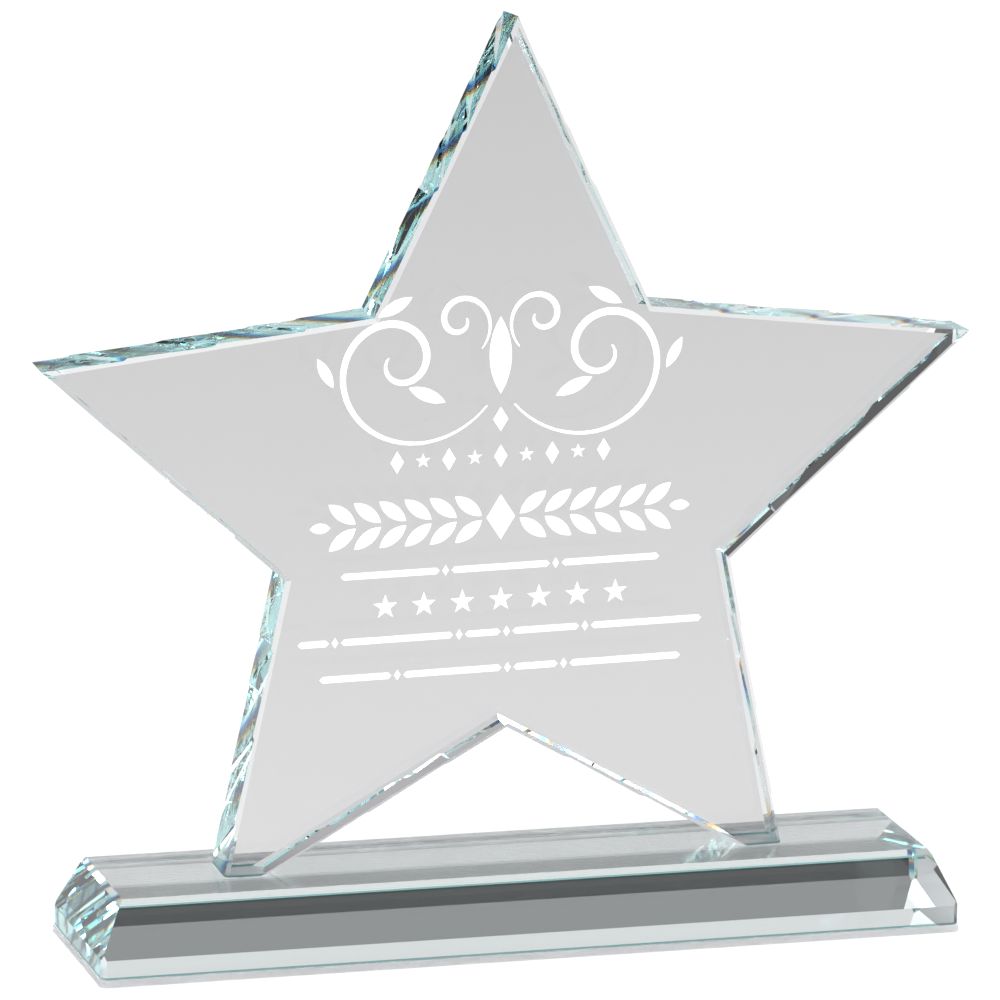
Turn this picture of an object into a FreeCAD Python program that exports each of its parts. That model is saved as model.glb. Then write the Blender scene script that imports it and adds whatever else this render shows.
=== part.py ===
"""Star trophy: a cut glass star standing on a bevelled glass base.

The star is a thick plate with bevelled face edges and ground facets on its sides.
Its front carries shallow etched ornament, and each etched group is filled with white paint.
Clear adhesive films hold its two feet to the base, and a thin pad is glued under the base.

Frame: millimetres, +Z up, the front faces -Y, and X = 0 is the star's upright axis.
Z = 0 is the underside of the pad, which is what the trophy stands on.
"""

import FreeCAD
import Part
import math
import os
from FreeCAD import Vector

# ---------------------------------------------------------------- driving dimensions, mm

# Pad and its adhesive film
pad_thickness = 1.5
pad_overhang = 0.3
pad_film_thickness = 0.15
pad_film_inset = 2.0

# Base
base_length = 192.0
base_depth = 45.5
base_height = 16.0
base_band_height = 4.2  # upright band at the bottom
base_lean = 5.4  # how far each side leans in above the band
base_rim_across = 0.9  # bevel round the top face, measured along it
base_rim_down = 1.2  # and the same bevel measured down
base_corner_bevel = 1.0  # on the four upright corners of the band
base_shift = 2.4  # the base's middle lies this far right of the star's axis

# Star outline: three arms on a circle that is scaled in height, and two longer legs
star_tip_radius = 108.6
star_notch_radius = 52.3
star_height_scale = 0.967
leg_tip_reach = 64.2  # from the axis to a leg's uncut tip
leg_tip_drop = 86.75  # from the star's centre down to a leg's uncut tip
foot_trim = 6.55  # height cut off each leg tip to make a flat foot
star_thickness = 12.8
star_edge_bevel = 1.0  # 45 degree bevel along both faces
foot_film_thickness = 0.15
foot_film_margin = 1.6  # the film stops this far inside the foot's ends
foot_film_setback = 0.2  # and this far inside its front and back

# Facets ground on each side of the star
facets_per_side = 3
facet_depth = 0.4
facet_step = 0.95  # width of the narrow step between two facets
facet_slant = 11.5  # how far a step runs along the side as it crosses it
arm_flat_length = 14.0  # plain length next to each notch
top_flat_length = 28.5  # the same on the two sides of the top arm

# Etched ornament on the front face
etch_depth = 0.30
paint_recess = 0.02  # the paint's face lies this far below the glass
paint_gap = 0.02  # between the paint and the bottom of the etched pocket
ornament_shift = -2.3  # the ornament's middle, from the star's axis
ornament_tilt = 0.9  # degrees, the right end higher
ornament_notch_radius = 52.3  # the sizes below suit a star with this notch radius, and scale with it

scroll_height = 39.9  # centre of the scrollwork above the ornament's middle row
scroll_line = 1.7
diamond_row_height = 18.8
diamond_row_pitch = 5.75
diamond_width = 3.0
diamond_height = 5.0
small_star_radius = 1.75
garland_height = 5.4
garland_pitch = 5.6
garland_leaf_length = 7.6
garland_leaf_width = 2.9
title_height = -5.6
title_line = 1.5
title_bars = (22.0, 22.0, 22.0)
star_row_height = -12.8
star_row_pitch = 8.57
star_row_radius = 2.85
dedication_heights = (-20.0, -28.0)
dedication_line = 1.5
dedication_bars = ((7.0, 25.0, 8.0, 15.0, 25.0), (16.0, 22.0, 10.0, 25.0))
bar_gap = 2.6
row_star_ratio = 0.4  # inner to outer radius of the small stars

# ---------------------------------------------------------------- levels and planes

base_bottom = pad_thickness + pad_film_thickness
base_top = base_bottom + base_height
foot_level = base_top + foot_film_thickness
star_centre = foot_level - foot_trim + leg_tip_drop
ornament_level = star_centre - 9.0  # the ornament's middle row
ornament_scale = star_notch_radius / ornament_notch_radius
front_face = -star_thickness / 2
back_face = star_thickness / 2
reach = 400.0  # longer than any size of the trophy


# ---------------------------------------------------------------- helpers

def flat_point(x, z):
    """A point of a drawing that lies in the XZ plane."""
    return Vector(x, 0, z)


def polygon_face(points):
    return Part.Face(Part.makePolygon(points + [points[0]]))


def trim(shape, point, outward):
    """Cut away all of the shape that lies past a plane."""
    block = Part.makeBox(reach, reach, reach, Vector(-reach / 2, -reach / 2, 0))
    block.Placement = FreeCAD.Placement(point, FreeCAD.Rotation(Vector(0, 0, 1), outward))
    return shape.cut(block)


def inset_outline(points, distance):
    """The outline moved inwards by a distance. Its points run clockwise as seen from the front."""
    moved = []
    count = len(points)
    for index in range(count):
        corner = points[index]
        before = (corner - points[index - 1]).normalize()
        after = (points[(index + 1) % count] - corner).normalize()
        inward_before = Vector(before.z, 0, -before.x)
        inward_after = Vector(after.z, 0, -after.x)
        middle = inward_before + inward_after
        moved.append(corner + middle * (distance / (1 + inward_before.dot(inward_after))))
    return moved


# ---------------------------------------------------------------- base, pad and films

def plan_block(length, depth, bottom, height, corner_bevel):
    """An upright block on the base's plan, with its four corners bevelled."""
    corner = Vector(base_shift - length / 2, -depth / 2, bottom)
    block = Part.makeBox(length, depth, height, corner)
    for side in (-1, 1):
        for end in (-1, 1):
            edge = Vector(base_shift + end * length / 2, side * depth / 2, bottom)
            inward = Vector(-end * corner_bevel, 0, 0)
            block = trim(block, edge + inward, Vector(end, side, 0))
    return block


def make_base():
    """The glass bar: a bevelled foot band, four leaning sides and a bevelled rim."""
    base = plan_block(base_length, base_depth, base_bottom, base_height, base_corner_bevel)
    rise = base_height - base_band_height
    band_top = base_bottom + base_band_height
    rim_level = base_top - base_rim_down
    lean_at_rim = base_lean * (rise - base_rim_down) / rise
    middle = Vector(base_shift, 0, 0)
    for direction, half in (
        (Vector(1, 0, 0), base_length / 2),
        (Vector(-1, 0, 0), base_length / 2),
        (Vector(0, 1, 0), base_depth / 2),
        (Vector(0, -1, 0), base_depth / 2),
    ):
        up = Vector(0, 0, 1)
        lean_point = middle + direction * half + up * band_top
        base = trim(base, lean_point, direction * rise + up * base_lean)
        rim_point = middle + direction * (half - lean_at_rim) + up * rim_level
        base = trim(base, rim_point, direction * base_rim_down + up * base_rim_across)
    return base


def make_pad():
    length = base_length + 2 * pad_overhang
    depth = base_depth + 2 * pad_overhang
    return plan_block(length, depth, 0, pad_thickness, base_corner_bevel)


def make_pad_film():
    length = base_length - 2 * pad_film_inset
    depth = base_depth - 2 * pad_film_inset
    return plan_block(length, depth, pad_thickness, pad_film_thickness, base_corner_bevel)


# ---------------------------------------------------------------- star plate

def star_corners():
    """The ten corners of the star, clockwise from the top tip as seen from the front."""
    corners = []
    for index in range(10):
        turn = math.radians(90 - 36 * index)
        radius = star_tip_radius if index % 2 == 0 else star_notch_radius
        rise = star_height_scale * radius * math.sin(turn)
        corners.append(flat_point(radius * math.cos(turn), star_centre + rise))
    corners[4] = flat_point(leg_tip_reach, star_centre - leg_tip_drop)
    corners[6] = flat_point(-leg_tip_reach, star_centre - leg_tip_drop)
    return corners


def star_plate(corners):
    """The plate with a bevel along both faces, before its sides and feet are cut."""
    inner = inset_outline(corners, star_edge_bevel)
    layers = (
        (inner, front_face),
        (corners, front_face + star_edge_bevel),
        (corners, back_face - star_edge_bevel),
        (inner, back_face),
    )
    rings = [[point + Vector(0, level, 0) for point in points] for points, level in layers]
    faces = [polygon_face(rings[0]), polygon_face(rings[-1])]
    for lower, upper in zip(rings, rings[1:]):
        for index in range(len(corners)):
            previous = index - 1
            faces.append(polygon_face([lower[previous], lower[index], upper[index], upper[previous]]))
    return Part.makeSolid(Part.makeShell(faces))


class Side:
    """One side of the star, from a notch to a tip, with a frame of its own.

    along runs from the notch to the tip, across from the front to the back, and out off the glass.
    """

    def __init__(self, notch, tip, centre):
        self.start = notch + Vector(0, front_face, 0)
        self.length = (tip - notch).Length
        self.along = (tip - notch).normalize()
        self.across = Vector(0, 1, 0)
        self.out = self.along.cross(self.across)
        if self.out.dot(notch - centre) < 0:
            self.out = self.out * -1

    def point(self, along, across, out):
        return self.start + self.along * along + self.across * across + self.out * out


def facet_cutter(side, front_run, pitch):
    """A long wedge between two slanting steps: the step drops at once, the facet rises slowly."""
    margin = 2 * star_thickness
    slant = Vector(facet_slant, star_thickness, 0).normalize()
    square = Vector(slant.y, -slant.x, 0)
    width = pitch * slant.y
    section = []
    for offset, out in ((0, 1), (0, 0), (facet_step, -facet_depth), (width, 0), (width, 1)):
        flat = slant * -margin + square * offset
        section.append(side.point(front_run + flat.x, flat.y, out))
    sweep = slant * (math.hypot(facet_slant, star_thickness) + 2 * margin)
    return polygon_face(section).extrude(side.along * sweep.x + side.across * sweep.y)


def corner_cutter(side, front_run):
    """A flat wedge in the corner between the plain length and the first slanting step."""
    past_back = star_thickness + 1.0
    share = past_back / star_thickness
    start = side.point(front_run, 0, 0)
    straight = side.point(front_run, past_back, 0)
    slanted = side.point(front_run + facet_slant * share, past_back, 0)
    deepest = side.point(front_run + facet_step * share, past_back, -facet_depth * share)
    lifted = [deepest + (point - deepest) * 1.5 for point in (start, straight, slanted)]
    faces = [polygon_face(lifted)]
    for index in range(3):
        faces.append(polygon_face([deepest, lifted[index], lifted[(index + 1) % 3]]))
    return Part.makeSolid(Part.makeShell(faces))


def side_cutters(side, flat_length):
    pitch = (side.length - flat_length) / facets_per_side
    cutters = [corner_cutter(side, flat_length)]
    for index in range(facets_per_side):
        cutters.append(facet_cutter(side, flat_length + index * pitch, pitch))
    return cutters


def make_star():
    """The plate with its facets ground and its feet cut flat, before it is etched."""
    corners = star_corners()
    star = star_plate(corners)
    centre = flat_point(0, star_centre)
    cutters = []
    for tip in range(0, 10, 2):
        flat_length = top_flat_length if tip == 0 else arm_flat_length
        for notch in (tip - 1, tip + 1):
            side = Side(corners[notch], corners[tip], centre)
            cutters += side_cutters(side, flat_length)
    star = star.cut(Part.makeCompound(cutters))
    return trim(star, Vector(0, 0, foot_level), Vector(0, 0, -1))


def foot_span():
    """Where a leg crosses the foot level: its inner and outer distances from the axis."""
    corners = star_corners()
    tip = corners[4]
    spans = []
    for notch in (corners[5], corners[3]):
        share = (foot_level - tip.z) / (notch.z - tip.z)
        spans.append(tip.x + (notch.x - tip.x) * share)
    return spans


def make_foot_film(hand):
    inner, outer = foot_span()
    length = outer - inner - 2 * foot_film_margin
    depth = star_thickness - 2 * foot_film_setback
    middle = hand * (inner + outer) / 2
    corner = Vector(middle - length / 2, -depth / 2, base_top)
    return Part.makeBox(length, depth, foot_film_thickness, corner)


# ---------------------------------------------------------------- ornament drawings
# Each drawing is a list of faces about the ornament's middle: x to the right, z up.

def star_drawing(x, z, radius):
    points = []
    for index in range(10):
        turn = math.radians(90 - 36 * index)
        size = radius if index % 2 == 0 else radius * row_star_ratio
        points.append(flat_point(x + size * math.cos(turn), z + size * math.sin(turn)))
    return polygon_face(points)


def diamond_drawing(x, z, width, height):
    return polygon_face([
        flat_point(x, z + height / 2),
        flat_point(x + width / 2, z),
        flat_point(x, z - height / 2),
        flat_point(x - width / 2, z),
    ])


def leaf_drawing(x, z, length, width, angle):
    """A pointed leaf of two arcs that grows from (x, z) at an angle in degrees."""
    turn = math.radians(angle)
    forward = Vector(math.cos(turn), 0, math.sin(turn))
    sideways = Vector(-forward.z, 0, forward.x)
    root = flat_point(x, z)
    end = root + forward * length
    middle = root + forward * (length / 2)
    upper = Part.Arc(root, middle + sideways * (width / 2), end).toShape()
    lower = Part.Arc(end, middle - sideways * (width / 2), root).toShape()
    return Part.Face(Part.Wire([upper, lower]))


def bar_drawing(x, z, length, height):
    """A bar with pointed ends, like a ruled line in print."""
    end = height / 2
    return polygon_face([
        flat_point(x - length / 2, z),
        flat_point(x - length / 2 + end, z + height / 2),
        flat_point(x + length / 2 - end, z + height / 2),
        flat_point(x + length / 2, z),
        flat_point(x + length / 2 - end, z - height / 2),
        flat_point(x - length / 2 + end, z - height / 2),
    ])


def spiral_drawing(x, z, start_angle, start_radius, end_angle, end_radius, line, hand):
    """A tapering spiral line about (x, z). Angles are in degrees, and hand mirrors it in x."""
    stations = 24
    left = []
    right = []
    for index in range(stations + 1):
        share = index / stations
        turn = math.radians(start_angle + (end_angle - start_angle) * share)
        radius = start_radius * (end_radius / start_radius) ** share
        half = line / 2 * max(math.sin(math.pi * (0.06 + 0.88 * share)) ** 0.8, 0.15)
        outward = Vector(math.cos(turn), 0, math.sin(turn))
        for side, offset in ((left, half), (right, -half)):
            point = outward * (radius + offset)
            side.append(flat_point(hand * (x + point.x), z + point.z))
    outer = Part.BSplineCurve()
    outer.interpolate(left)
    inner = Part.BSplineCurve()
    inner.interpolate(right[::-1])
    edges = [
        outer.toShape(),
        Part.makeLine(left[-1], right[-1]),
        inner.toShape(),
        Part.makeLine(right[0], left[0]),
    ]
    return Part.Face(Part.Wire(edges))


def scroll_ornament():
    """Two mirrored scrolls with leaves on either side of a tall middle leaf."""
    middle = scroll_height
    faces = [
        leaf_drawing(0, middle - 7.5, 17.0, 5.0, 90),
        diamond_drawing(0, middle - 13.0, 3.4, 5.4),
    ]
    for hand in (-1, 1):
        faces.append(spiral_drawing(22.5, middle + 0.5, -152, 22.0, 390, 2.6, scroll_line, hand))
        faces.append(spiral_drawing(9.1, middle + 9.0, 232, 8.0, -200, 1.6, scroll_line * 0.8, hand))
        tilt = 0 if hand > 0 else 180
        for x, z, length, angle in (
            (27.0, 10.8, 8.5, 152),
            (37.0, -4.0, 7.5, 62),
            (12.2, -8.6, 9.0, 24),
        ):
            turn = tilt + hand * angle
            faces.append(leaf_drawing(hand * x, middle + z, length, length * 0.32, turn))
    return faces


def diamond_row():
    faces = []
    for index in range(9):
        x = (index - 4) * diamond_row_pitch
        if index % 2 == 0:
            faces.append(diamond_drawing(x, diamond_row_height, diamond_width, diamond_height))
        else:
            faces.append(star_drawing(x, diamond_row_height, small_star_radius))
    return faces


def garland():
    """A bold garland: leaf pairs that point outwards from a middle diamond."""
    faces = [diamond_drawing(0, garland_height, 6.4, 10.0)]
    for hand in (-1, 1):
        tilt = 0 if hand > 0 else 180
        for index in range(6):
            x = hand * (4.2 + index * garland_pitch)
            for lift in (-1, 1):
                z = garland_height + lift * 0.45
                turn = tilt + hand * lift * 38
                faces.append(leaf_drawing(x, z, garland_leaf_length, garland_leaf_width, turn))
        x = hand * (4.2 + 6 * garland_pitch)
        end_length = garland_leaf_length * 0.6
        faces.append(leaf_drawing(x, garland_height, end_length, garland_leaf_width * 0.8, tilt))
    return faces


def ruled_line(z, lengths, height):
    """Bars of the given lengths in a centred row, with a diamond in each gap."""
    total = sum(lengths) + bar_gap * (len(lengths) - 1)
    x = -total / 2
    faces = []
    for index, length in enumerate(lengths):
        faces.append(bar_drawing(x + length / 2, z, length, height))
        x += length
        if index < len(lengths) - 1:
            faces.append(diamond_drawing(x + bar_gap / 2, z, height, height * 1.6))
        x += bar_gap
    return faces


def star_row():
    places = [(index - 3) * star_row_pitch for index in range(7)]
    return [star_drawing(x, star_row_height, star_row_radius) for x in places]


def dedication():
    faces = []
    for z, lengths in zip(dedication_heights, dedication_bars):
        faces += ruled_line(z, lengths, dedication_line)
    return faces


def placed(faces, start, depth):
    """The drawing set on the front face, and swept backwards from a level by a depth."""
    scaled = [face.scaled(ornament_scale, Vector(0, 0, 0)) for face in faces]
    solids = [face.extrude(Vector(0, depth, 0)) for face in scaled]
    group = Part.makeCompound(solids)
    group.rotate(Vector(0, 0, 0), Vector(0, 1, 0), -ornament_tilt)
    group.translate(Vector(ornament_shift, front_face + start, ornament_level))
    return group


def pocket(faces):
    return placed(faces, -1.0, 1.0 + etch_depth)


def paint(faces):
    return placed(faces, paint_recess, etch_depth - paint_recess - paint_gap)


# ---------------------------------------------------------------- assembly

def main():
    ornaments = {
        "scroll_paint": scroll_ornament(),
        "diamond_row_paint": diamond_row(),
        "garland_paint": garland(),
        "title_rule_paint": ruled_line(title_height, title_bars, title_line),
        "star_row_paint": star_row(),
        "dedication_paint": dedication(),
    }
    star = make_star()
    for faces in ornaments.values():
        star = star.cut(pocket(faces))

    nodes = {
        "crystal_star": star,
        "crystal_base": make_base(),
        "left_foot_bond": make_foot_film(-1),
        "right_foot_bond": make_foot_film(1),
        "base_pad": make_pad(),
        "pad_adhesive": make_pad_film(),
    }
    for name, faces in ornaments.items():
        nodes[name] = paint(faces)

    os.makedirs("parts", exist_ok=True)
    for name, shape in nodes.items():
        shape.exportStep(os.path.join("parts", name + ".step"))
        box = shape.BoundBox
        print(
            f"{name}: {len(shape.Solids)} solid(s), valid {shape.isValid()}, volume {shape.Volume:.1f} mm3, "
            f"x {box.XMin:.2f}..{box.XMax:.2f}, y {box.YMin:.2f}..{box.YMax:.2f}, "
            f"z {box.ZMin:.2f}..{box.ZMax:.2f}"
        )


main()
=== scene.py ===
"""The looks of the star trophy: cut glass, white paint in etched pockets, adhesive and a pale pad.

Every length is in metres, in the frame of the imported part: +Z up, and the front faces -Y.
"""

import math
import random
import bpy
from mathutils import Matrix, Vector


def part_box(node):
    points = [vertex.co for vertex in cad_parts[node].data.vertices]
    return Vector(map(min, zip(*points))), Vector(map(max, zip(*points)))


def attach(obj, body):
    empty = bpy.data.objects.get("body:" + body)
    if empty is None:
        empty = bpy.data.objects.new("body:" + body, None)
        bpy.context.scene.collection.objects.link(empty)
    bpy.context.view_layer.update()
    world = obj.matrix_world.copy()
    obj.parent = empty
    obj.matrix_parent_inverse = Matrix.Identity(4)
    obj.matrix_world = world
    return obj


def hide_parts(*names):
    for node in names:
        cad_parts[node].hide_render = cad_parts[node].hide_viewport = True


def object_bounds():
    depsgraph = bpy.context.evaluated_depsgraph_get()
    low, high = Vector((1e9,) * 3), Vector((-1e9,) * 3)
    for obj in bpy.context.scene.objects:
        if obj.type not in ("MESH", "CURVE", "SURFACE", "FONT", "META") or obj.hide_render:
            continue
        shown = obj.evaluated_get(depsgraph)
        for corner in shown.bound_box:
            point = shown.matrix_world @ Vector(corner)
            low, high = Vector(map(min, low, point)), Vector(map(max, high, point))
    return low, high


bl_info = {
    "name": "Star Trophy",
    "version": (1, 0, 0),
    "blender": (4, 5, 0),
    "location": "3D View > Sidebar > Star Trophy",
    "description": "Finishes a cut glass star award and sets it on a plain studio floor",
    "category": "Object",
}

import bmesh
import bpy
from bpy.props import FloatProperty, FloatVectorProperty, PointerProperty
from bpy.types import Operator, Panel, PropertyGroup
from mathutils import Matrix, Vector

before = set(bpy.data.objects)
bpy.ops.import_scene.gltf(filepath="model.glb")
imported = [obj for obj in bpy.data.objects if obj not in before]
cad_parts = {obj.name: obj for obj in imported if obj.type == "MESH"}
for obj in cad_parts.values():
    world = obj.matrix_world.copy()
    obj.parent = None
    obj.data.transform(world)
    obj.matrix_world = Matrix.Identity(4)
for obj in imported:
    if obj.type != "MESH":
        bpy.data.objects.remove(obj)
cad_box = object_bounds()

BODY = "root"
PAINT_NODES = sorted(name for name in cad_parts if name.endswith("_paint"))
FOOT_NODES = ("left_foot_bond", "right_foot_bond")
MILLIMETRE = 0.001
INNER_REFLECTIONS = 28  # light turns many times inside a thick cut plate

CLEAR = (1.0, 1.0, 1.0)
NONE = (0.0, 0.0, 0.0)
PAINTED_SPLIT_LIGHT = (
    # place across a streak, and the painted split light that it lets through: warm side, dark core of
    # painted shade, cold side
    (0.00, CLEAR),
    (0.40, CLEAR),
    (0.46, (1.00, 0.86, 0.20)),
    (0.51, (0.90, 0.16, 0.04)),
    (0.56, (0.06, 0.04, 0.05)),
    (0.63, (0.03, 0.05, 0.07)),
    (0.70, (0.01, 0.04, 0.42)),
    (0.77, (0.10, 0.50, 0.75)),
    (0.83, (0.55, 1.00, 0.92)),
    (0.88, CLEAR),
)
FACE_LEAN = 0.9  # surfaces that face straight to the front or back lean further than this along Y
LEVEL_LEAN = 0.998  # level surfaces lean further than this along Z

# how fine each pattern is, in features per metre
MOTTLE_FINENESS = 9.0
HAZE_FINENESS = 26.0
PATCH_FINENESS = 30.0
RIPPLE_FINENESS = 42.0
PAD_CLOUD_FINENESS = 70.0
PAINT_CLOUD_FINENESS = 180.0
FIBRE_FINENESS = 900.0
BUBBLE_FINENESS = 1400.0

ADHESIVE_REFRACTION = 1.47
PAD_REFRACTION = 1.41
GRAIN_DEPTH = 0.08  # depth of the paint's grain, as a share of its size
PORE_DEPTH = 0.15  # depth of the pad's pores, as a share of their size

FOOT_SKIN_SPACING = 0.0004
PAD_SKIN_SPACING = 0.002
PAD_SKIN_SEED = 7
SKIN_CORNER = 0.35  # corner radius of an adhesive skin, as a share of its shorter half
SKIN_CORNER_STEPS = 4
SKIN_WAIST = 0.6  # how far a skin's edge draws in at mid height, as a share of its thickness
SKIN_WAVES = (3, 7, 13)  # waves round a skin's edge

FLOOR_DROP = 0.0002
FLOOR_SIDES = 96
FLOOR_TONES = ((0.14, 0.14, 0.14), (0.17, 0.17, 0.17))
ROOM_SHADES = (
    # share of the way from the horizon to straight up, brightness
    (0.00, (1.00, 1.00, 1.01)),
    (0.05, (0.86, 0.86, 0.87)),
    (0.14, (0.74, 0.74, 0.75)),
    (0.35, (0.60, 0.60, 0.61)),
    (0.55, (0.50, 0.50, 0.51)),
    (0.72, (1.80, 1.80, 1.80)),
    (1.00, (3.60, 3.60, 3.60)),
)
ROOM_CARDS = (
    # centre (azimuth from +Y towards +X, elevation) and size in degrees, brightness
    ((16.5, 1.5), (12.0, 5.5), 0.75),
    ((-14.2, 13.5), (9.4, 23.0), 0.13),
    ((17.0, 16.0), (13.0, 11.5), 0.30),
    ((18.0, 27.5), (17.0, 11.5), 0.07),
    ((19.0, 36.0), (15.0, 6.0), 0.82),
    ((-79.0, 14.0), (20.0, 50.0), 0.06),
    ((-40.0, 20.0), (10.0, 50.0), 0.12),
    ((60.0, 10.0), (12.0, 40.0), 0.10),
    ((97.0, 20.0), (16.0, 60.0), 1.60),
    ((135.0, 30.0), (14.0, 60.0), 0.08),
    ((-135.0, 35.0), (20.0, 30.0), 1.60),
    ((-165.0, 30.0), (12.0, 50.0), 0.10),
)
CARD_SOFTNESS = 1.5
SOFTBOXES = (
    # name, place from the trophy's middle, size, power in watts
    ("key_softbox", Vector((-0.9, -1.0, 1.3)), (0.7, 0.7), 14.0),
    ("side_softbox", Vector((1.3, -0.2, 0.6)), (0.3, 0.9), 9.0),
)
AIM_OFFSET = Vector((-0.755, 0.0, -4.9447)) * MILLIMETRE  # from the trophy's middle to the camera's aim
SENSOR_WIDTH = 36.0  # in millimetres, as the lens is
CLIP_START = 0.05
CLIP_END = 50.0


# ---------------------------------------------------------------- settings

class GlassSettings(PropertyGroup):
    """Sizes and colours of the polished glass."""

    # painted shade: greys the star's flat front and back faces, standing in for the grey surroundings
    # seen through them, not a tint of the glass
    star_face_shade: FloatVectorProperty(
        name="Star colour",
        description="What the star's flat faces let through",
        subtype="COLOR",
        size=3,
        min=0.0,
        max=1.0,
        default=(0.700, 0.672, 0.681),
    )
    side_colour: FloatVectorProperty(
        name="Side colour",
        description="What the star's ground sides and the base's slopes, ends and top let through",
        subtype="COLOR",
        size=3,
        min=0.0,
        max=1.0,
        default=(1.0, 0.985, 0.985),
    )
    base_colour: FloatVectorProperty(
        name="Base colour",
        description="What the base's upright front and back let through",
        subtype="COLOR",
        size=3,
        min=0.0,
        max=1.0,
        default=(0.99, 0.955, 0.96),
    )
    depth_colour: FloatVectorProperty(
        name="Depth colour",
        description="The colour that the glass turns over a long path",
        subtype="COLOR",
        size=3,
        min=0.0,
        max=1.0,
        default=(0.36, 0.82, 0.825),
    )
    star_density: FloatProperty(
        name="Star density",
        description="How fast the star's glass takes on the depth colour, per metre",
        min=0.0,
        default=6.0,
    )
    base_density: FloatProperty(
        name="Base density",
        description="How fast the base's glass takes on the depth colour, per metre",
        min=0.0,
        default=4.0,
    )
    # painted shade: the star's face colour darkens towards its top
    star_top_shade_share: FloatProperty(
        name="Star top share",
        description="Share of the star's colour that is left at its top, which looks a little darker",
        min=0.0,
        max=1.0,
        default=0.79,
    )
    star_streak_pitch: FloatProperty(
        name="Star streak pitch",
        description="Pitch of the streaks of split light in the star's sides",
        unit="LENGTH",
        min=0.001,
        default=0.021,
    )
    base_streak_pitch: FloatProperty(
        name="Base streak pitch",
        description="Pitch of the streaks of split light in the base's ends",
        unit="LENGTH",
        min=0.001,
        default=0.009,
    )
    foot_roughness: FloatProperty(
        name="Foot roughness",
        description="Roughness of the undersides of the star's feet, which are ground for the adhesive",
        min=0.0,
        max=1.0,
        default=0.55,
    )
    # painted shade: a dark teal band along the lowest edge of each piece, standing in for the dark look
    # of a bottom bevel
    seam_shade_height: FloatProperty(
        name="Seam height",
        description="Height of the ground line along the lowest edge of a piece",
        unit="LENGTH",
        min=0.0,
        default=0.00045,
    )
    # painted shade: colour of the dark band along the lowest edge
    seam_shade_colour: FloatVectorProperty(
        name="Seam colour",
        description="Colour of the ground line along the lowest edge of a piece",
        subtype="COLOR",
        size=3,
        min=0.0,
        max=1.0,
        default=(0.08, 0.26, 0.26),
    )
    refraction: FloatProperty(
        name="Refraction",
        description="Index of refraction of the glass",
        min=1.0,
        max=2.5,
        default=1.52,
    )
    ripple_depth: FloatProperty(
        name="Ripple depth",
        description="Depth of the polishing ripple on the faces",
        unit="LENGTH",
        min=0.0,
        default=0.000003,
    )


class PaintSettings(PropertyGroup):
    """Sizes and colours of the paint in the etched pockets."""

    colour: FloatVectorProperty(
        name="Paint colour",
        description="Colour of the paint in the etched pockets",
        subtype="COLOR",
        size=3,
        min=0.0,
        max=1.0,
        default=(0.93, 0.93, 0.93),
    )
    grain: FloatProperty(
        name="Paint grain",
        description="Size of the sandblasted grain that shows through the paint",
        unit="LENGTH",
        min=0.00001,
        default=0.00022,
    )
    glow: FloatProperty(
        name="Paint glow",
        description="Light that keeps the paint plain white under soft light",
        min=0.0,
        default=0.35,
    )


class UndersideSettings(PropertyGroup):
    """Sizes and colours of the pad and the adhesive."""

    pad_colour: FloatVectorProperty(
        name="Pad colour",
        description="Colour of the pad under the base",
        subtype="COLOR",
        size=3,
        min=0.0,
        max=1.0,
        default=(0.96, 0.97, 0.98),
    )
    film_colour: FloatVectorProperty(
        name="Film colour",
        description="Colour of the adhesive between the base and the pad",
        subtype="COLOR",
        size=3,
        min=0.0,
        max=1.0,
        default=(0.98, 0.98, 0.98),
    )
    pad_pore: FloatProperty(
        name="Pad pore",
        description="Size of the pores in the pad",
        unit="LENGTH",
        min=0.00001,
        default=0.0004,
    )
    pad_clearness: FloatProperty(
        name="Pad clearness",
        description="Share of the light that the milky pad lets through",
        min=0.0,
        max=1.0,
        default=0.75,
    )
    film_pore: FloatProperty(
        name="Film pore",
        description="Size of the bubbles in the adhesive between the base and the pad",
        unit="LENGTH",
        min=0.00001,
        default=0.0009,
    )
    film_clearness: FloatProperty(
        name="Film clearness",
        description="Share of the light that the milky adhesive lets through",
        min=0.0,
        max=1.0,
        default=0.9,
    )
    contact_gap: FloatProperty(
        name="Contact gap",
        description="Gap that keeps an adhesive skin from lying in the same plane as the glass",
        unit="LENGTH",
        min=0.0,
        default=0.00002,
    )
    edge_wander: FloatProperty(
        name="Edge wander",
        description="How unevenly the adhesive's edge has flowed",
        unit="LENGTH",
        min=0.0,
        default=0.00035,
    )


class StageSettings(PropertyGroup):
    """The floor, the light and the camera."""

    floor_radius: FloatProperty(
        name="Floor radius",
        description="Radius of the plain floor",
        unit="LENGTH",
        min=1.0,
        default=9.0,
    )
    floor_glow: FloatProperty(
        name="Floor glow",
        description="Light that the floor gives off by itself, like a lit table",
        min=0.0,
        default=0.83,
    )
    azimuth: FloatProperty(
        name="Camera azimuth",
        description="The camera's turn round the trophy, negative to the left of the front",
        subtype="ANGLE",
        default=math.radians(-16.264),
    )
    elevation: FloatProperty(
        name="Camera elevation",
        description="How far the camera looks down",
        subtype="ANGLE",
        default=math.radians(13.19),
    )
    roll: FloatProperty(
        name="Camera roll",
        description="The camera's turn about its own line of sight",
        subtype="ANGLE",
        default=math.radians(0.906),
    )
    distance: FloatProperty(
        name="Camera distance",
        description="From the camera to the point that it looks at",
        unit="LENGTH",
        min=0.1,
        default=1.77866,
    )
    lens: FloatProperty(
        name="Lens",
        description="Focal length in millimetres, for a 36 mm wide frame",
        min=1.0,
        default=297.67,
    )


# ---------------------------------------------------------------- node helpers

def new_material(name):
    """A node material that holds only its output, and the output."""
    material = bpy.data.materials.new(name)
    material.use_nodes = True
    material.node_tree.nodes.clear()
    output = material.node_tree.nodes.new("ShaderNodeOutputMaterial")
    return material, output


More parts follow.
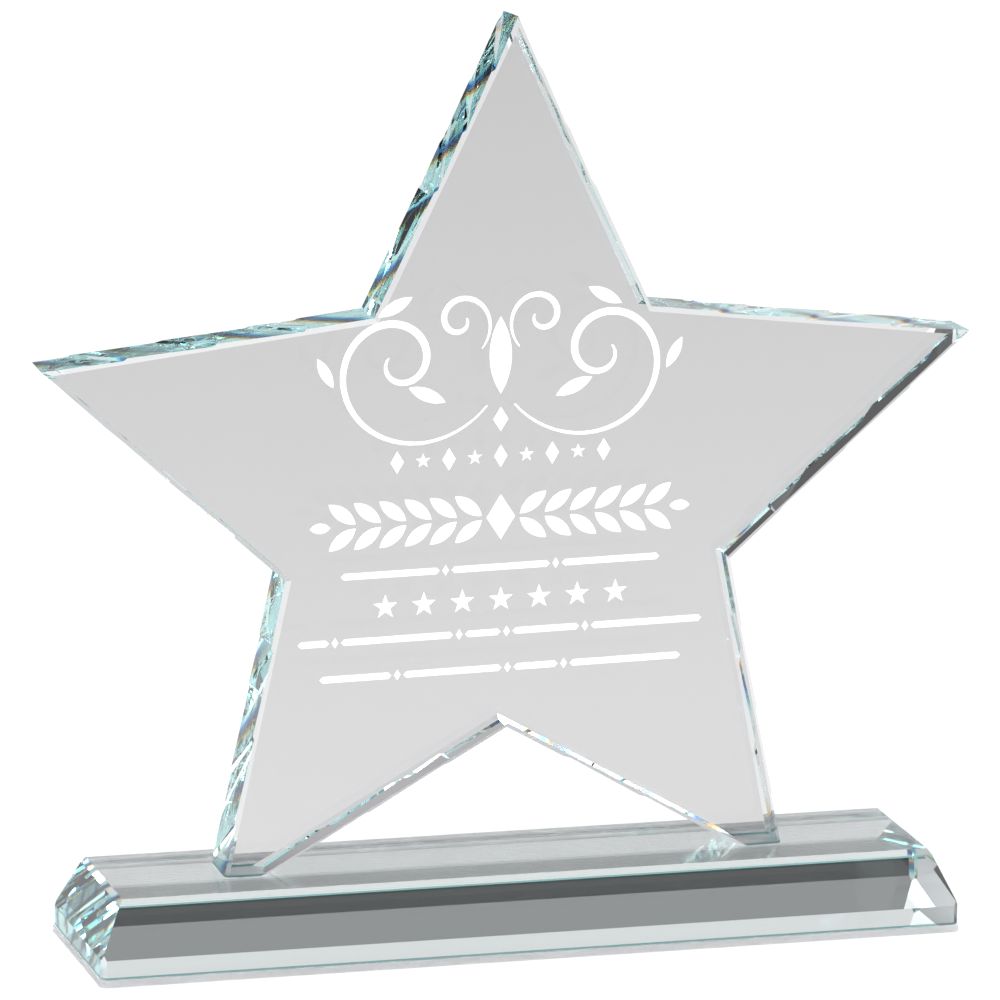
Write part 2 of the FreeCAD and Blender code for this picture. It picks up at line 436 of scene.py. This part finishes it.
def add_node(tree, kind, settings=None, **inputs):
    """A node with its own settings and its input values. An input given a socket is linked to it."""
    node = tree.nodes.new(kind)
    for name, value in (settings or {}).items():
        setattr(node, name, value)
    for name, value in inputs.items():
        key = name.replace("_", " ")
        socket = node.inputs[int(key[1:])] if key[0] == "i" and key[1:].isdigit() else node.inputs[key]
        if isinstance(value, bpy.types.NodeSocket):
            tree.links.new(value, socket)
        else:
            socket.default_value = value
    return node


def opaque(colour):
    return (colour[0], colour[1], colour[2], 1.0)


def ramp(tree, source, stops):
    """A colour ramp. A stop is (place, colour)."""
    node = add_node(tree, "ShaderNodeValToRGB", Fac=source)
    elements = node.color_ramp.elements
    while len(elements) < len(stops):
        elements.new(1.0)
    for element, (place, colour) in zip(elements, stops):
        element.position = place
        element.color = opaque(colour)
    return node.outputs["Color"]


def maths(tree, operation, first, second=0.0):
    node = add_node(tree, "ShaderNodeMath", {"operation": operation}, i0=first, i1=second)
    return node.outputs["Value"]


def mixed(tree, share, first, second, blend="MIX"):
    node = add_node(tree, "ShaderNodeMix", {"data_type": "RGBA", "blend_type": blend})
    pairs = ((node.inputs[0], share), (node.inputs[6], first), (node.inputs[7], second))
    for socket, value in pairs:
        if isinstance(value, bpy.types.NodeSocket):
            tree.links.new(value, socket)
        else:
            socket.default_value = value
    return node.outputs[2]


def object_place(tree):
    return add_node(tree, "ShaderNodeTexCoord").outputs["Object"]


def noise(tree, place, scale, detail=2.0, roughness=0.5):
    node = add_node(
        tree,
        "ShaderNodeTexNoise",
        Vector=place,
        Scale=scale,
        Detail=detail,
        Roughness=roughness,
    )
    return node.outputs["Fac"]


def bump(tree, height, depth):
    node = add_node(tree, "ShaderNodeBump", Height=height, Distance=depth, Strength=1.0)
    return node.outputs["Normal"]


# ---------------------------------------------------------------- glass

def polish_roughness(tree, place):
    """Polished glass is clear, with faint hazy patches where a cloth has left a film."""
    haze = noise(tree, place, HAZE_FINENESS, 3.0)
    return ramp(tree, haze, ((0.52, NONE), (0.85, (0.012, 0.012, 0.012))))


def lean_share(tree, axis, test, limit=0.5):
    """1 where the surface's lean towards an axis passes the test against a limit, and 0 elsewhere."""
    normal = add_node(tree, "ShaderNodeNewGeometry").outputs["True Normal"]
    split = add_node(tree, "ShaderNodeSeparateXYZ", Vector=normal)
    return maths(tree, test, maths(tree, "ABSOLUTE", split.outputs[axis]), limit)


def painted_spectrum(tree, place, pitch):
    """Painted split light: patches of slanting streaks at a pitch, whose dark cores are painted shade.
    """
    wave = add_node(
        tree,
        "ShaderNodeTexWave",
        {"wave_type": "BANDS", "bands_direction": "DIAGONAL", "wave_profile": "SAW"},
        Vector=place,
        Scale=math.tau / (10.0 * pitch),
        Distortion=2.5,
        Detail=1.0,
    )
    wave.inputs["Detail Scale"].default_value = 0.35
    streaks = ramp(tree, wave.outputs["Fac"], PAINTED_SPLIT_LIGHT)
    patches = ramp(tree, noise(tree, place, PATCH_FINENESS, 1.0), ((0.44, CLEAR), (0.52, NONE)))
    return mixed(tree, patches, streaks, opaque(CLEAR))


def glass_material(name, glass, density, face_tint_and_shade, shade_towards_top, painted_streak_faces, ground):
    """Polished glass that turns green over a long path, with painted shade and painted split light in
    its colour.

    shade_towards_top is (lowest z, highest z, share of the face colour left at the top): painted shade
    that darkens the faces towards the top.
    painted_streak_faces is (axis, test, pitch): the faces that get painted split light, by their lean,
    and its pitch.
    ground is the roughness of a level underside.
    """
    material, output = new_material(name)
    tree = material.node_tree
    place = object_place(tree)
    # painted shade: the face colour darkens from the lowest z to the highest, down to the share left at
    # the top
    low, high, left = shade_towards_top
    height = add_node(tree, "ShaderNodeSeparateXYZ", Vector=place).outputs["Z"]
    rise = add_node(tree, "ShaderNodeMapRange", Value=height, From_Min=low, From_Max=high)
    upper = tuple(channel * left for channel in face_tint_and_shade)
    colour = mixed(tree, rise.outputs["Result"], opaque(face_tint_and_shade), opaque(upper))
    cloud = noise(tree, place, MOTTLE_FINENESS)
    mottle = ramp(tree, cloud, ((0.3, CLEAR), (0.7, (0.985, 0.985, 0.985))))
    colour = mixed(tree, 1.0, colour, mottle, "MULTIPLY")
    axis, test, pitch = painted_streak_faces
    side = opaque(glass.side_colour)
    painted_streaks = mixed(tree, 1.0, painted_spectrum(tree, place, pitch), side, "MULTIPLY")
    # painted shade: front and back faces take the face colour, which for the star is greyed for the
    # surroundings seen through it; other faces take the side colour
    colour = mixed(tree, lean_share(tree, "Y", "LESS_THAN", FACE_LEAN), colour, side)
    # painted split light: streaks with dark cores of painted shade, on the faces picked by their lean
    colour = mixed(tree, lean_share(tree, axis, test), colour, painted_streaks)
    # painted shade: a dark teal band along the lowest edge of the side faces
    low_share = maths(tree, "LESS_THAN", height, low + glass.seam_shade_height)
    seam_shade_share = maths(tree, "MULTIPLY", low_share, lean_share(tree, "Z", "LESS_THAN"))
    colour = mixed(tree, seam_shade_share, colour, opaque(glass.seam_shade_colour))
    level_share = lean_share(tree, "Z", "GREATER_THAN", LEVEL_LEAN)
    polish = polish_roughness(tree, place)
    roughness = mixed(tree, level_share, polish, opaque((ground, ground, ground)))
    ripple = bump(tree, noise(tree, place, RIPPLE_FINENESS), glass.ripple_depth)
    shader = add_node(
        tree,
        "ShaderNodeBsdfPrincipled",
        Base_Color=colour,
        Roughness=roughness,
        IOR=glass.refraction,
        Normal=ripple,
    )
    shader.inputs["Transmission Weight"].default_value = 1.0
    depth = add_node(
        tree,
        "ShaderNodeVolumeAbsorption",
        Color=opaque(glass.depth_colour),
        Density=density,
    )
    tree.links.new(shader.outputs["BSDF"], output.inputs["Surface"])
    tree.links.new(depth.outputs["Volume"], output.inputs["Volume"])
    return material


def finish_node(name, material):
    """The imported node's mesh stays as it is, and only its material changes."""
    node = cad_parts[name]
    if not node.material_slots:
        raise RuntimeError(f"{name} has no material slot")
    for place in node.material_slots:
        place.material = material
    return node


# ---------------------------------------------------------------- paint, pad and adhesive

def paint_material(paint):
    """Matte white paint over a sandblasted floor, with a fine grain, and painted light: it glows by
    itself so that it stays plain white.
    """
    material, output = new_material("white_paint")
    tree = material.node_tree
    place = object_place(tree)
    grain = noise(tree, place, 1.0 / paint.grain, 3.0, 0.6)
    cloud = noise(tree, place, PAINT_CLOUD_FINENESS)
    shade = tuple(channel * 0.95 for channel in paint.colour)
    colour = mixed(tree, cloud, opaque(paint.colour), opaque(shade))
    shader = add_node(
        tree,
        "ShaderNodeBsdfPrincipled",
        Base_Color=colour,
        Roughness=ramp(tree, grain, ((0.2, (0.62, 0.62, 0.62)), (0.8, (0.85, 0.85, 0.85)))),
        Normal=bump(tree, grain, paint.grain * GRAIN_DEPTH),
    )
    # painted light: the paint glows by itself, though it is no lamp, so that it stays plain white
    shader.inputs["Emission Color"].default_value = opaque(paint.colour)
    shader.inputs["Emission Strength"].default_value = paint.glow
    tree.links.new(shader.outputs["BSDF"], output.inputs["Surface"])
    return material


def adhesive_material():
    """Clear cured adhesive with fine bubbles."""
    material, output = new_material("clear_adhesive")
    tree = material.node_tree
    place = object_place(tree)
    bubbles = add_node(tree, "ShaderNodeTexVoronoi", Vector=place, Scale=BUBBLE_FINENESS)
    away = bubbles.outputs["Distance"]
    speck = ramp(tree, away, ((0.10, (0.99, 0.99, 0.99)), (0.22, (0.90, 0.93, 0.93))))
    shader = add_node(
        tree,
        "ShaderNodeBsdfPrincipled",
        Base_Color=speck,
        Roughness=ramp(tree, away, ((0.1, (0.25, 0.25, 0.25)), (0.3, (0.04, 0.04, 0.04)))),
        IOR=ADHESIVE_REFRACTION,
    )
    shader.inputs["Transmission Weight"].default_value = 1.0
    tree.links.new(shader.outputs["BSDF"], output.inputs["Surface"])
    return material


def pad_material(name, colour, pore, clearness):
    """A milky cushion or film, with pores of a given size and a given share of light let through."""
    material, output = new_material(name)
    tree = material.node_tree
    place = object_place(tree)
    pores = add_node(tree, "ShaderNodeTexVoronoi", Vector=place, Scale=1.0 / pore)
    cloud = noise(tree, place, PAD_CLOUD_FINENESS, 3.0)
    darker = tuple(channel * 0.93 for channel in colour)
    tone = mixed(tree, cloud, opaque(colour), opaque(darker))
    away = pores.outputs["Distance"]
    # painted shade: darker at the middle of each pore
    pore_shade = ramp(tree, away, ((0.05, (0.86, 0.86, 0.86)), (0.35, CLEAR)))
    shader = add_node(
        tree,
        "ShaderNodeBsdfPrincipled",
        Base_Color=mixed(tree, 1.0, tone, pore_shade, "MULTIPLY"),
        Roughness=ramp(tree, cloud, ((0.2, (0.55, 0.55, 0.55)), (0.8, (0.75, 0.75, 0.75)))),
        Normal=bump(tree, away, pore * PORE_DEPTH),
        IOR=PAD_REFRACTION,
    )
    shader.inputs["Transmission Weight"].default_value = clearness
    tree.links.new(shader.outputs["BSDF"], output.inputs["Surface"])
    return material


def skin_mesh(name, low, high, wander, seed, spacing):
    """A thin skin that fills a box, with an unevenly flowed edge that never leaves the box.

    spacing is the distance between the points along its edge.
    """
    rng = random.Random(seed)
    middle = (low + high) / 2
    half_x = (high.x - low.x) / 2
    half_y = (high.y - low.y) / 2
    corner = min(half_x, half_y) * SKIN_CORNER
    outline = []
    for turn_x, turn_y, start in ((1, 1, 0), (-1, 1, 90), (-1, -1, 180), (1, -1, 270)):
        for step in range(SKIN_CORNER_STEPS + 1):
            angle = math.radians(start + 90 * step / SKIN_CORNER_STEPS)
            x = turn_x * (half_x - corner) + corner * math.cos(angle)
            y = turn_y * (half_y - corner) + corner * math.sin(angle)
            outline.append(Vector((x, y)))
    points = []
    for index, start in enumerate(outline):
        end = outline[(index + 1) % len(outline)]
        count = max(1, round((end - start).length / spacing))
        points += [start.lerp(end, part / count) for part in range(count)]
    phases = [rng.uniform(0, math.tau) for _ in SKIN_WAVES]
    mesh = bpy.data.meshes.new(name)
    build = bmesh.new()
    rings = []
    for level in (low.z, middle.z, high.z):
        ring = []
        for index, point in enumerate(points):
            share = index / len(points) * math.tau
            wave = sum(math.sin(share * turns + phase) for turns, phase in zip(SKIN_WAVES, phases))
            pull = wander * (0.5 + wave / (2 * len(SKIN_WAVES)))
            if level == middle.z:
                pull += (high.z - low.z) * SKIN_WAIST
            inward = point - point.normalized() * pull
            ring.append(build.verts.new((middle.x + inward.x, middle.y + inward.y, level)))
        rings.append(ring)
    for lower, upper in zip(rings, rings[1:]):
        for index in range(len(points)):
            after = (index + 1) % len(points)
            build.faces.new((lower[index], lower[after], upper[after], upper[index]))
    build.faces.new(rings[0][::-1])
    build.faces.new(rings[-1])
    build.to_mesh(mesh)
    build.free()
    piece = bpy.data.objects.new(name, mesh)
    bpy.context.scene.collection.objects.link(piece)
    return piece


# ---------------------------------------------------------------- stage

def floor_material(glow):
    """A lit white table with a trace of paper texture."""
    material, output = new_material("floor_paper")
    tree = material.node_tree
    place = object_place(tree)
    fibre = noise(tree, place, FIBRE_FINENESS)
    darkest, palest = FLOOR_TONES
    shader = add_node(
        tree,
        "ShaderNodeBsdfPrincipled",
        Base_Color=ramp(tree, fibre, ((0.0, darkest), (1.0, palest))),
        Roughness=0.9,
    )
    shader.inputs["Emission Color"].default_value = opaque(CLEAR)
    shader.inputs["Emission Strength"].default_value = glow
    tree.links.new(shader.outputs["BSDF"], output.inputs["Surface"])
    return material


def make_floor(stage):
    mesh = bpy.data.meshes.new("floor")
    build = bmesh.new()
    bmesh.ops.create_circle(build, cap_ends=True, segments=FLOOR_SIDES, radius=stage.floor_radius)
    build.to_mesh(mesh)
    build.free()
    floor = bpy.data.objects.new("floor", mesh)
    floor.location.z = -FLOOR_DROP
    bpy.context.scene.collection.objects.link(floor)
    mesh.materials.append(floor_material(stage.floor_glow))


def card(tree, angles, centre, size, under, brightness):
    """A card in the room, set by the azimuth and elevation of its centre and its size, in degrees."""
    masks = []
    for angle, middle, extent in zip(angles, centre, size):
        away = maths(tree, "ABSOLUTE", maths(tree, "SUBTRACT", angle, middle))
        edge = add_node(
            tree,
            "ShaderNodeMapRange",
            {"interpolation_type": "SMOOTHSTEP"},
            Value=away,
            From_Min=(extent - CARD_SOFTNESS) / 2,
            From_Max=(extent + CARD_SOFTNESS) / 2,
            To_Min=1.0,
            To_Max=0.0,
        )
        masks.append(edge.outputs["Result"])
    inside = maths(tree, "MULTIPLY", *masks)
    return mixed(tree, inside, under, opaque((brightness, brightness, brightness)))


def make_surroundings():
    """A room with light and dark cards for the glass, which the camera sees as plain white."""
    world = bpy.data.worlds.new("studio")
    bpy.context.scene.world = world
    world.use_nodes = True
    tree = world.node_tree
    tree.nodes.clear()
    output = tree.nodes.new("ShaderNodeOutputWorld")
    direction = add_node(tree, "ShaderNodeTexCoord").outputs["Generated"]
    split = add_node(tree, "ShaderNodeSeparateXYZ", Vector=direction)
    turn = maths(tree, "ARCTAN2", split.outputs["X"], split.outputs["Y"])
    rise = maths(tree, "ARCSINE", split.outputs["Z"])
    angles = [maths(tree, "DEGREES", angle) for angle in (turn, rise)]
    seen = ramp(tree, maths(tree, "DIVIDE", angles[1], 90.0), ROOM_SHADES)
    for centre, size, brightness in ROOM_CARDS:
        seen = card(tree, angles, centre, size, seen, brightness)
    camera_ray = add_node(tree, "ShaderNodeLightPath").outputs["Is Camera Ray"]
    colour = mixed(tree, camera_ray, seen, opaque(CLEAR))
    light = add_node(tree, "ShaderNodeBackground", Color=colour, Strength=1.0)
    tree.links.new(light.outputs["Background"], output.inputs["Surface"])


def make_lamp(name, place, target, size, power):
    data = bpy.data.lights.new(name, "AREA")
    data.shape = "RECTANGLE"
    data.size, data.size_y = size
    data.energy = power
    lamp = bpy.data.objects.new(name, data)
    lamp.location = place
    lamp.rotation_euler = (target - place).to_track_quat("-Z", "Y").to_euler()
    bpy.context.scene.collection.objects.link(lamp)


def make_camera(stage):
    target = (cad_box[0] + cad_box[1]) / 2 + AIM_OFFSET
    forward = Vector((
        -math.sin(stage.azimuth) * math.cos(stage.elevation),
        math.cos(stage.azimuth) * math.cos(stage.elevation),
        -math.sin(stage.elevation),
    ))
    level = Vector((math.cos(stage.azimuth), math.sin(stage.azimuth), 0.0))
    upright = level.cross(forward)
    right = level * math.cos(stage.roll) + upright * math.sin(stage.roll)
    up = upright * math.cos(stage.roll) - level * math.sin(stage.roll)
    data = bpy.data.cameras.new("camera")
    data.sensor_width = SENSOR_WIDTH
    data.lens = stage.lens
    data.clip_start = CLIP_START
    data.clip_end = CLIP_END
    camera = bpy.data.objects.new("camera", data)
    turn = Matrix((right, up, -forward)).transposed().to_4x4()
    camera.matrix_world = Matrix.Translation(target - forward * stage.distance) @ turn
    bpy.context.scene.collection.objects.link(camera)
    bpy.context.scene.camera = camera


# ---------------------------------------------------------------- operators

class TROPHY_OT_star(Operator):
    """Finish the cut glass star"""

    bl_idname = "trophy.star"
    bl_label = "Cut Glass Star"

    def execute(self, context):
        glass = context.scene.trophy_glass
        low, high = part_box("crystal_star")
        material = glass_material(
            "star_glass",
            glass,
            glass.star_density,
            glass.star_face_shade,
            (low.z, high.z, glass.star_top_shade_share),
            ("Y", "LESS_THAN", glass.star_streak_pitch),
            glass.foot_roughness,
        )
        star = finish_node("crystal_star", material)
        return {"FINISHED"}


class TROPHY_OT_base(Operator):
    """Finish the bevelled glass base"""

    bl_idname = "trophy.base"
    bl_label = "Glass Base"

    def execute(self, context):
        glass = context.scene.trophy_glass
        low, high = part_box("crystal_base")
        material = glass_material(
            "base_glass",
            glass,
            glass.base_density,
            glass.base_colour,
            (low.z, high.z, 1.0),
            ("X", "GREATER_THAN", glass.base_streak_pitch),
            0.0,
        )
        base = finish_node("crystal_base", material)
        return {"FINISHED"}


class TROPHY_OT_paint(Operator):
    """Fill the etched pockets with white paint"""

    bl_idname = "trophy.paint"
    bl_label = "Etched Paint"

    def execute(self, context):
        material = paint_material(context.scene.trophy_paint)
        for name in PAINT_NODES:
            finish_node(name, material)
        return {"FINISHED"}


class TROPHY_OT_foot_adhesive(Operator):
    """Lay an unevenly flowed skin of clear adhesive under each foot"""

    bl_idname = "trophy.foot_adhesive"
    bl_label = "Foot Adhesive"

    def execute(self, context):
        settings = context.scene.trophy_underside
        material = adhesive_material()
        for seed, node in enumerate(FOOT_NODES):
            low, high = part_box(node)
            low.z += settings.contact_gap
            high.z -= settings.contact_gap
            skin = skin_mesh(node + "_skin", low, high, settings.edge_wander, seed, FOOT_SKIN_SPACING)
            skin.data.materials.append(material)
            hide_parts(node)
            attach(skin, BODY)
        return {"FINISHED"}


class TROPHY_OT_pad(Operator):
    """Finish the pale pad under the base"""

    bl_idname = "trophy.pad"
    bl_label = "Base Pad"

    def execute(self, context):
        settings = context.scene.trophy_underside
        material = pad_material("pad", settings.pad_colour, settings.pad_pore, settings.pad_clearness)
        pad = finish_node("base_pad", material)
        return {"FINISHED"}


class TROPHY_OT_pad_adhesive(Operator):
    """Lay the milky adhesive between the base and its pad"""

    bl_idname = "trophy.pad_adhesive"
    bl_label = "Pad Adhesive"

    def execute(self, context):
        settings = context.scene.trophy_underside
        material = pad_material(
            "pad_adhesive",
            settings.film_colour,
            settings.film_pore,
            settings.film_clearness,
        )
        low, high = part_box("pad_adhesive")
        low.z += settings.contact_gap
        high.z -= settings.contact_gap
        wander = settings.edge_wander * 2
        skin = skin_mesh("pad_adhesive_skin", low, high, wander, PAD_SKIN_SEED, PAD_SKIN_SPACING)
        skin.data.materials.append(material)
        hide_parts("pad_adhesive")
        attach(skin, BODY)
        return {"FINISHED"}


class TROPHY_OT_stage(Operator):
    """Set up the floor, the light and the camera"""

    bl_idname = "trophy.stage"
    bl_label = "Studio Stage"

    def execute(self, context):
        stage = context.scene.trophy_stage
        make_floor(stage)
        make_surroundings()
        middle = (cad_box[0] + cad_box[1]) / 2
        for name, offset, size, power in SOFTBOXES:
            make_lamp(name, middle + offset, middle, size, power)
        make_camera(stage)
        return {"FINISHED"}


class TROPHY_PT_panel(Panel):
    """Lists the steps that finish the trophy"""

    bl_idname = "TROPHY_PT_panel"
    bl_label = "Star Trophy"
    bl_space_type = "VIEW_3D"
    bl_region_type = "UI"
    bl_category = "Star Trophy"

    def draw(self, context):
        scene = context.scene
        groups = (scene.trophy_glass, scene.trophy_paint, scene.trophy_underside, scene.trophy_stage)
        for group in groups:
            box = self.layout.box()
            for name in group.__annotations__:
                box.prop(group, name)
        for step in STEPS:
            self.layout.operator(step.bl_idname)


STEPS = (
    TROPHY_OT_star,
    TROPHY_OT_base,
    TROPHY_OT_paint,
    TROPHY_OT_foot_adhesive,
    TROPHY_OT_pad,
    TROPHY_OT_pad_adhesive,
    TROPHY_OT_stage,
)
SETTINGS = {
    "trophy_glass": GlassSettings,
    "trophy_paint": PaintSettings,
    "trophy_underside": UndersideSettings,
    "trophy_stage": StageSettings,
}


def register():
    for kind in (*SETTINGS.values(), *STEPS, TROPHY_PT_panel):
        bpy.utils.register_class(kind)
    for name, kind in SETTINGS.items():
        setattr(bpy.types.Scene, name, PointerProperty(type=kind))


def unregister():
    for name in SETTINGS:
        delattr(bpy.types.Scene, name)
    for kind in reversed((*SETTINGS.values(), *STEPS, TROPHY_PT_panel)):
        bpy.utils.unregister_class(kind)


def main():
    register()
    bpy.context.scene.view_settings.view_transform = "Standard"
    light_paths = bpy.context.scene.cycles
    light_paths.glossy_bounces = INNER_REFLECTIONS
    light_paths.transmission_bounces = INNER_REFLECTIONS
    light_paths.max_bounces = INNER_REFLECTIONS
    for step in STEPS:
        group, name = step.bl_idname.split(".")
        getattr(getattr(bpy.ops, group), name)()


if __name__ == "__main__":
    main()
